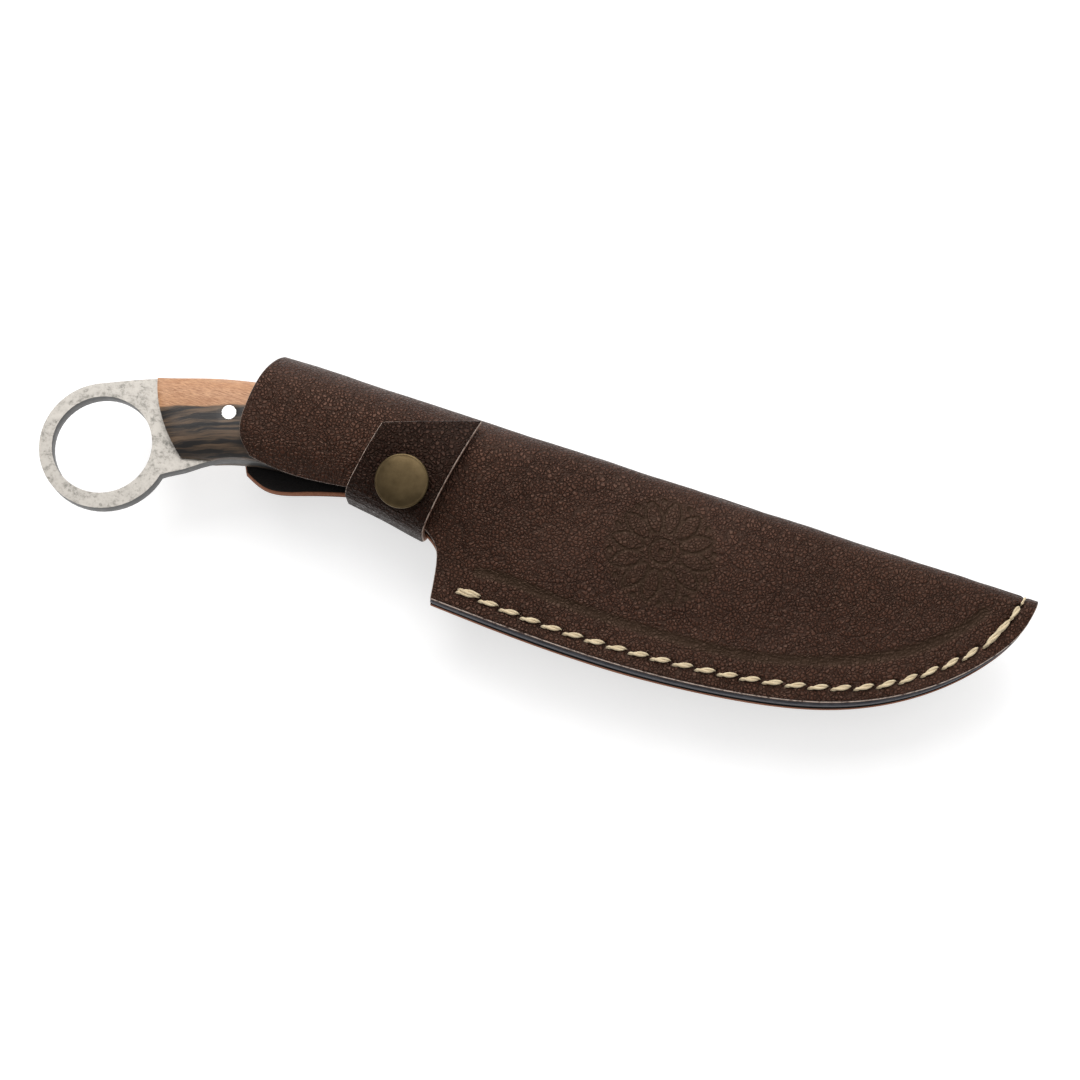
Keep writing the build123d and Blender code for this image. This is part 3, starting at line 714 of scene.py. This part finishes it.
def thread_run(start, stop, side, plies=2, lift=0.0, thick=1.0):
    """One stitch: plies laid together with a slow twist, rising from one hole and diving into the other."""
    vertices, faces, lengths, turns = [], [], [], []
    steps, around = 34, 12
    t = np.linspace(0, 1, steps)
    length = np.hypot(*(stop - start))
    arch = np.minimum(1, np.sin(t * pi) * 2.4) ** 0.5
    flat = start + (stop - start) * t[:, None]
    s = length_from_fold(flat[:, 0], flat[:, 1])
    surface, up = sheath_at(flat[:, 0], s * side)
    radius = thread_r * thick
    centre = surface + up * ((arch - 1) * thread_dive + radius * 0.75 + lift)[:, None]
    way = np.gradient(centre, axis=0)
    way /= np.linalg.norm(way, axis=1)[:, None]
    across = np.cross(up, way)
    rise = np.cross(way, across)
    taper = 0.62 + 0.38 * np.sin(t * pi) ** 0.6
    for ply in range(plies):
        angle = 2 * pi * (t * length / twist_pitch + ply / plies) + 0.35
        orbit = radius * 0.78 * taper
        spine = centre + across * (np.cos(angle) * orbit)[:, None]
        spine += rise * (np.sin(angle) * orbit * 0.45)[:, None]
        base = len(vertices)
        swell = radius * taper
        for k in range(around):
            a = 2 * pi * k / around
            ring = spine + (across * cos(a) + rise * sin(a) * 0.8) * swell[:, None]
            vertices.extend(ring.tolist())
            lengths.extend((t * length + 3.0 * ply + start[0]).tolist())
            turns.extend((abs(k / around - 0.5) + t * 0.25).tolist())
        for k in range(around):
            a0, b0 = base + k * steps, base + (k + 1) % around * steps
            faces += [[a0 + i, a0 + i + 1, b0 + i + 1, b0 + i] for i in range(steps - 1)]
        for end in (0, steps - 1):
            faces.append([base + k * steps + end for k in range(around)])
    return vertices, faces, lengths, turns


def join_runs(runs):
    """All the stitches' vertices, faces and fibre values in one list each."""
    vertices, faces, lengths, turns = [], [], [], []
    for some_vertices, some_faces, some_lengths, some_turns in runs:
        faces += [[v + len(vertices) for v in face] for face in some_faces]
        vertices += some_vertices
        lengths += some_lengths
        turns += some_turns
    return vertices, faces, {"length": lengths, "turn": turns}


runs = []
for index, (start, stop) in enumerate(stitches):
    thin = 0.6 if index == stitch_count - 1 else 1.0
    for side in (1, -1):
        runs.append(thread_run(start, stop, side, thick=thin))
        if index in (0, stitch_count - 3):
            shift = np.array([0.25, 0.75])
            runs.append(thread_run(start + shift, stop + shift * 0.6, side, lift=0.25))
        if index == stitch_count - 3:
            shift = np.array([-0.5, -0.55])
            runs.append(thread_run(start + shift, stop + shift, side, lift=0.15))
vertices, faces, fibre_values = join_runs(runs)
stitching = add_mesh("seam_thread", vertices, faces, [0] * len(faces), [thread], fibre_values, merge=False)
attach(stitching, "sheath")
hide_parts("edge_stitching")

# ------------------------------ retaining strap
along_fold = np.array([cos(strap_turn), sin(strap_turn), 0.0])
up_strap = np.array([-sin(strap_turn), cos(strap_turn), 0.0])
out_z = np.array([0.0, 0.0, 1.0])
strap_base = np.array([*strap_corner, 0.0])
arc_w = hinge_w - sqrt(strap_arc_r**2 - (strap_arc_v - hinge_v) ** 2)
arc_v = np.linspace(hinge_v, strap_right_len + 0.5, 90)
arc = [(v, arc_w + sqrt(strap_arc_r**2 - (strap_arc_v - v) ** 2)) for v in arc_v]
strap_bend_r, arc_join = 6.5, 26
bends = rounded(strap_tail + [(hinge_v, hinge_w), arc[arc_join]], strap_bend_r)
strap_path = even(np.concatenate([bends, arc[arc_join + 1:]]), step=0.1)
strap_run = np.r_[0, np.cumsum(np.hypot(*np.diff(strap_path, axis=0).T))]


def along_strap(run):
    """The strap path's two coordinates at lengths along it."""
    return np.stack([np.interp(run, strap_run, column) for column in strap_path.T])


over = int(np.argmax(strap_path[:, 1] > hinge_w - 4.5))
run_over = strap_run[over]
shares_tail = np.linspace(0, 1, 60)[:-1]
shares_flap = np.linspace(0, 1, 90)
rows_u = 58
cap_dent_r, cap_dent_w, cap_dent_depth = 6.8, 1.5, 0.22
outer, inner = [], []
for j in range(rows_u):
    q = j / (rows_u - 1)
    end_v = strap_left_len * (1 - q) + strap_right_len * q
    run_end = np.interp(end_v, strap_path[over:, 0], strap_run[over:])
    runs_j = np.r_[shares_tail * run_over, run_over + shares_flap * (run_end - run_over)]
    v, w = along_strap(runs_j)
    dv, dw = along_strap(runs_j + 0.3) - along_strap(runs_j - 0.3)
    size = np.hypot(dv, dw)
    nv, nw = -dw / size, dv / size
    on_front = np.clip((runs_j - run_over) / 6, 0, 1)
    lean = strap_lean * np.clip(v / strap_left_len, 0, 1) * on_front
    u = lean + (strap_w - lean) * q
    ruffle = smooth_noise(u, v + 60 * on_front, 12, 11) * 0.12
    cap_away = np.hypot(u - snap_u, v - snap_v)
    ruffle -= cap_dent_depth * np.exp(-((cap_away - cap_dent_r) / cap_dent_w) ** 2) * on_front
    centre = strap_base + u[:, None] * along_fold + v[:, None] * up_strap + w[:, None] * out_z
    out_way = nv[:, None] * up_strap + nw[:, None] * out_z
    outer.append(centre + out_way * (strap_t / 2 + ruffle)[:, None])
    inner.append(centre - out_way * (strap_t / 2))
outer, inner = np.array(outer).transpose(1, 0, 2), np.array(inner).transpose(1, 0, 2)
zero = np.zeros(outer.shape[:2])
# the strap's cut edges carry the pale corner line, partly wear and partly painted highlight
strap = slab("snap_strap", outer, inner, [strap_brown, cut_strap, flesh_shade], bulge=0.2, roll=0.25,
             attributes={"press": zero, "hole_shade": zero, "tone": zero, "wear_and_highlight": zero + 0.8})
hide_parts("strap_tail", "strap_flap")
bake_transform(strap)

# ------------------------------ belt loop
loop_line = even(rounded(loop_path, loop_bend_r), step=loop_step)
loop_way = np.gradient(loop_line, axis=0)
loop_way /= np.hypot(*loop_way.T)[:, None]
loop_run = np.arange(len(loop_line)) * loop_step
to_end = np.minimum(loop_run, loop_run[-1] - loop_run)
into_corner = np.clip(loop_corner_r - to_end, 0, None)
cut_back = loop_corner_r - np.sqrt(np.clip(loop_corner_r**2 - into_corner**2, 0, None))
half_w = loop_w / 2 - cut_back
q = np.linspace(-1, 1, 50)[None, :]
y = loop_y + half_w[:, None] * q
shape = y.shape
x, z = np.broadcast_to(loop_line[:, :1], shape), np.broadcast_to(loop_line[:, 1:], shape)
nx, nz = loop_way[:, 1:], -loop_way[:, :1]
ripple = smooth_noise(x, y, 14, 21) * 0.08
outer = np.stack([x + nx * (loop_t / 2 - 0.05), y, z + nz * (loop_t / 2 - 0.05)], axis=2)
outer[..., 2] += np.abs(ripple) * 0.5
inner = np.stack([x - nx * loop_t / 2, y, z - nz * loop_t / 2], axis=2)
groove_away = loop_w / 2 - loop_groove_inset - np.abs(y - loop_y)
groove = np.exp(-(groove_away / loop_groove_w) ** 2)
outer[..., 2] += 0.15 * groove
zero = np.zeros(shape)
loop = slab("belt_loop_strap", outer, inner, [loop_brown, cut_tan, flesh_shade], bulge=0.2, roll=0.25,
            attributes={"press": groove * 0.7, "hole_shade": zero, "tone": zero, "wear_and_highlight": zero})
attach(loop, "sheath")
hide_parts("belt_loop")


# ------------------------------ metal
def brass(name):
    """Antiqued brass with a faint cloud of wear and fine specks."""
    look = Look(name, Metallic=1.0)
    at = look.object_place()
    cloud = look.noise(at, 3.4, 5.0, 0.6)
    specks = look.noise(at, 0.4, 4.0, 0.7)
    tint = look.blend(look.fit(cloud, 0.3, 0.7), (88, 74, 52), (108, 92, 66))
    tint = look.blend(look.fit(specks, 0.55, 0.75, 0.0, 0.35), tint, (84, 70, 48))
    gloss = look.fit(cloud, 0.3, 0.7, 0.34, 0.42)
    return look.finish(tint, gloss, look.bump(specks, 0.008))


def steel(name):
    """Stonewashed steel: soft dark scuffs on a pale ground, with streaked side walls painted darker as shade.
    """
    look = Look(name, Metallic=1.0)
    at = look.object_place()
    wide = look.noise(look.warped(at, 4.0, 2.0), 3.0, 5.0, 0.7, 0.4)
    scuff = look.noise(look.stretched(at, (0.8, 1.0, 1.0)), 0.8, 6.0, 0.75, 0.6)
    dents = look.cells(look.warped(at, 1.2, 0.9), 1.0, feature="F1")
    mottle = look.math("ADD", look.math("MULTIPLY", wide, 0.6), look.math("MULTIPLY", scuff, 0.4))
    tint = look.blend(look.fit(mottle, 0.38, 0.5), (128, 125, 119), (174, 169, 162))
    tint = look.blend(look.fit(dents, 0.1, 0.5, 0.18, 0.0), tint, (104, 100, 95))
    # painted shade: faces turned sideways take a darker streaked grey than the flat faces
    facing = look.split(look.put("TexCoord").outputs["Normal"])[2]
    flat = look.fit(look.math("ABSOLUTE", facing), 0.25, 0.6)
    mill = look.noise(look.stretched(at, (0.5, 0.5, 6.0)), 0.8, 3.0)
    side = look.blend(look.fit(mill, 0.3, 0.7), (84, 84, 84), (112, 111, 110))
    tint = look.blend(flat, side, tint)
    gloss = look.fit(mottle, 0.35, 0.65, 0.55, 0.42)
    relief = look.math("ADD", scuff, look.math("MULTIPLY", dents, 0.5))
    return look.finish(tint, gloss, look.bump(relief, 0.025))


def polished(name):
    """Bright pin steel with fine hairlines."""
    look = Look(name, Metallic=1.0)
    at = look.object_place()
    hair = look.noise(look.stretched(at, (3.0, 0.3, 1.0)), 0.5, 4.0, 0.6)
    tint = look.blend(look.fit(hair, 0.3, 0.7), (222, 220, 216), (242, 241, 238))
    return look.finish(tint, look.fit(hair, 0.3, 0.7, 0.14, 0.24), look.bump(hair, 0.004))


antique = brass("brass_antique")
stonewashed = steel("steel_stonewashed")
bright = polished("steel_pin")


# ------------------------------ wood
def two_tone_wood(name):
    """Pale sapwood above dark heartwood, with bent grain and black streaks along the handle."""
    look = Look(name, Specular_IOR_Level=0.4, Coat_Weight=0.1, Coat_Roughness=0.35)
    at = look.object_place()
    x, y, z = look.split(at)
    sway = look.noise(look.stretched(at, (0.06, 0.3, 0.3)), 1.0, 2.0)
    sway = look.math("MULTIPLY", look.math("SUBTRACT", sway, 0.5), 2.0)
    rise = look.math("ADD", look.math("MULTIPLY", look.math("MINIMUM", x, 0.0), 0.31),
                     look.math("MULTIPLY", look.math("MAXIMUM", x, 0.0), 0.04))
    level = look.math("ADD", look.math("SUBTRACT", y, rise), sway)
    sapwood = look.fit(level, -16.9, -16.3, smooth=True)
    bow = look.math("MULTIPLY", look.math("MULTIPLY", x, x), 0.004)
    ring_y = look.math("ADD", level, bow)
    along = look.put("CombineXYZ", {"X": look.math("MULTIPLY", x, 0.045), "Y": ring_y,
                                    "Z": look.math("MULTIPLY", z, 0.5)}).outputs[0]
    bands = look.noise(look.warped(along, 6.0, 0.8), 1.5, 5.0, 0.6)
    hair = look.noise(look.stretched(along, (2.0, 3.6, 2.0)), 0.9, 4.0, 0.7)
    pores = look.noise(look.stretched(at, (0.28, 3.6, 2.0)), 0.9, 5.0, 0.75)
    pale = look.blend(look.fit(pores, 0.38, 0.6), (150, 100, 66), (208, 160, 120))
    pale = look.blend(look.fit(bands, 0.4, 0.6, 0.0, 0.35), pale, (184, 130, 90))
    dark = look.blend(look.fit(bands, 0.42, 0.58), (30, 27, 26), (112, 90, 70))
    dark = look.blend(look.fit(hair, 0.35, 0.7, 0.0, 0.55), dark, (44, 38, 34))
    streak = look.noise(look.stretched(along, (0.8, 0.5, 0.5)), 1.6, 3.0, 0.55)
    dark = look.blend(look.fit(streak, 0.56, 0.62), dark, (12, 10, 10))
    tint = look.blend(sapwood, dark, pale)
    gloss = look.fit(hair, 0.3, 0.7, 0.42, 0.55)
    return look.finish(tint, gloss, look.bump(look.math("ADD", hair, pores), 0.05))


wood = two_tone_wood("wood_two_tone")

refined("blade_and_ring", "knife_steel", 0.25, stonewashed, "knife")
refined("handle_scale_front", "scale_front", 0.3, wood, "knife")
refined("handle_scale_back", "scale_back", 0.3, wood, "knife")
for place in ("front", "middle", "rear"):
    refined(f"handle_pin_{place}", f"pin_{place}", 0.12, bright, "knife")
for node, body in (("snap_socket", "strap"), ("snap_stud", "sheath"), ("snap_post", "sheath"),
                   ("belt_loop_rivet_posts", "sheath"), ("strap_rivet_posts", "sheath")):
    refined(node, node + "_metal", 0.1, antique, body)


# ------------------------------ caps
def round_solids(node):
    """The places of each separate round solid in a CAD node, in metres."""
    bm = bmesh.new()
    bm.from_mesh(frame["nodes"][node].data)
    bmesh.ops.remove_doubles(bm, verts=bm.verts, dist=2e-6)
    left, groups = set(bm.verts), []
    while left:
        group, queue = [], [left.pop()]
        while queue:
            v = queue.pop()
            group.append(tuple(v.co))
            for edge in v.link_edges:
                other = edge.other_vert(v)
                if other in left:
                    left.remove(other)
                    queue.append(other)
        groups.append(np.array(group))
    bm.free()
    return groups


def disc_frame(points):
    """Centre, outward axis, radius and lowest and highest point along the axis, of a round solid."""
    centred = points - points.mean(axis=0)
    values, axes = np.linalg.eigh(np.cov(centred.T))
    pick = np.argmin([abs(values[(k + 1) % 3] - values[(k + 2) % 3]) for k in range(3)])
    axis = axes[:, pick]
    if axis[2] * (points.mean(axis=0)[2] - origin[2]) < 0:
        axis = -axis
    flat = points - np.outer(points @ axis, axis)
    wide = (flat.max(axis=0) + flat.min(axis=0)) / 2
    radius = np.linalg.norm(flat - wide, axis=1).max()
    rim = points[np.linalg.norm(flat - wide, axis=1) > radius * 0.97] @ axis
    return wide, axis, radius, rim.min(), (points @ axis).max()


def turned(name, groups, profile, material, body, node):
    """Round caps turned from a profile of (share of radius, share of height) points."""
    vertices, faces = [], []
    around = 96
    for points in groups:
        wide, axis, radius, low, high = disc_frame(points)
        side = np.cross(axis, (0.0, 1.0, 0.0))
        side /= np.linalg.norm(side)
        other = np.cross(axis, side)
        base = len(vertices)
        for r, h in profile:
            for k in range(around):
                a = 2 * pi * k / around
                centre = wide + axis * (low + (high - low) * h)
                vertices.append(centre + (side * cos(a) + other * sin(a)) * radius * r)
        for i in range(len(profile) - 1):
            for k in range(around):
                a0, b0 = base + i * around, base + (i + 1) * around
                faces.append([a0 + k, a0 + (k + 1) % around, b0 + (k + 1) % around, b0 + k])
        faces.append([base + k for k in range(around)])
        faces.append([base + (len(profile) - 1) * around + k for k in range(around)])
    local = (np.array(vertices) - origin) * 1000
    piece = add_mesh(name, local, faces, [0] * len(faces), [material], merge=False)
    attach(piece, body)
    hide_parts(node)


dome = [(0.93, 0.0), (0.985, 0.06), (1.0, 0.2), (0.998, 0.42), (0.985, 0.56), (0.965, 0.64), (0.945, 0.66),
        (0.925, 0.655), (0.9, 0.67), (0.84, 0.74), (0.72, 0.83), (0.6, 0.89), (0.45, 0.94),
        (0.3, 0.975), (0.15, 0.995), (0.02, 1.0)]
turned("snap_cap_dome", round_solids("snap_cap"), dome, antique, "strap", "snap_cap")
for node in ("belt_loop_rivet_caps", "strap_rivet_caps"):
    turned(node + "_domes", round_solids(node), dome, antique, "sheath", node)

# ------------------------------ floor, light and camera
look = Look("floor_paper", Roughness=0.9, Specular_IOR_Level=0.1, Emission_Color=(1, 1, 1, 1),
            Emission_Strength=0.64)
paper = look.noise(look.put("TexCoord").outputs["Object"], 0.02, 2.0)
floor_white = look.finish(look.blend(look.fit(paper, 0.3, 0.7), (196, 196, 196), (202, 202, 202)))
mesh = bpy.data.meshes.new("floor")
half_floor = 3.0
mesh.from_pydata([(-half_floor, -half_floor, 0), (half_floor, -half_floor, 0), (half_floor, half_floor, 0),
                  (-half_floor, half_floor, 0)], [], [(0, 1, 2, 3)])
mesh.materials.append(floor_white)
floor = bpy.data.objects.new("floor", mesh)
floor.location.z = cad_low[2] - 0.0001
bpy.context.scene.collection.objects.link(floor)


def softbox(name, place, aim, size, power):
    """A square area light aimed at a point."""
    data = bpy.data.lights.new(name, "AREA")
    data.shape, data.size, data.energy = "SQUARE", size, power
    lamp = bpy.data.objects.new(name, data)
    lamp.location = place
    lamp.rotation_mode = "QUATERNION"
    lamp.rotation_quaternion = (Vector(aim) - Vector(place)).to_track_quat("-Z", "Y")
    bpy.context.scene.collection.objects.link(lamp)


middle = (0.0, 0.0, 0.01)
softbox("light_key", (-0.4, 0.85, 0.9), middle, 1.2, 15.0)
softbox("light_top", (-0.05, 0.3, 1.2), middle, 1.2, 4.6)

sky = bpy.data.worlds.new("studio")
sky.use_nodes = True
sky.node_tree.nodes["Background"].inputs["Color"].default_value = (1.0, 1.0, 1.0, 1.0)
sky.node_tree.nodes["Background"].inputs["Strength"].default_value = 0.3
bpy.context.scene.world = sky
bpy.context.scene.view_settings.view_transform = "Standard"

azimuth, elevation = radians(18.7), radians(76)
aim = Vector((0.0031, 0.0022, 0.0182))
camera_distance = 0.5412
back = Vector((sin(azimuth) * cos(elevation), -cos(azimuth) * cos(elevation), sin(elevation)))
camera = bpy.data.objects.new("camera", bpy.data.cameras.new("camera"))
camera.data.lens, camera.data.sensor_width = 70.0, 36.0
camera.data.clip_start, camera.data.clip_end = 0.01, 20.0
camera.location = aim + back * camera_distance
camera.rotation_mode = "QUATERNION"
camera.rotation_quaternion = (-back).to_track_quat("-Z", "Y")
bpy.context.scene.collection.objects.link(camera)
bpy.context.scene.camera = camera
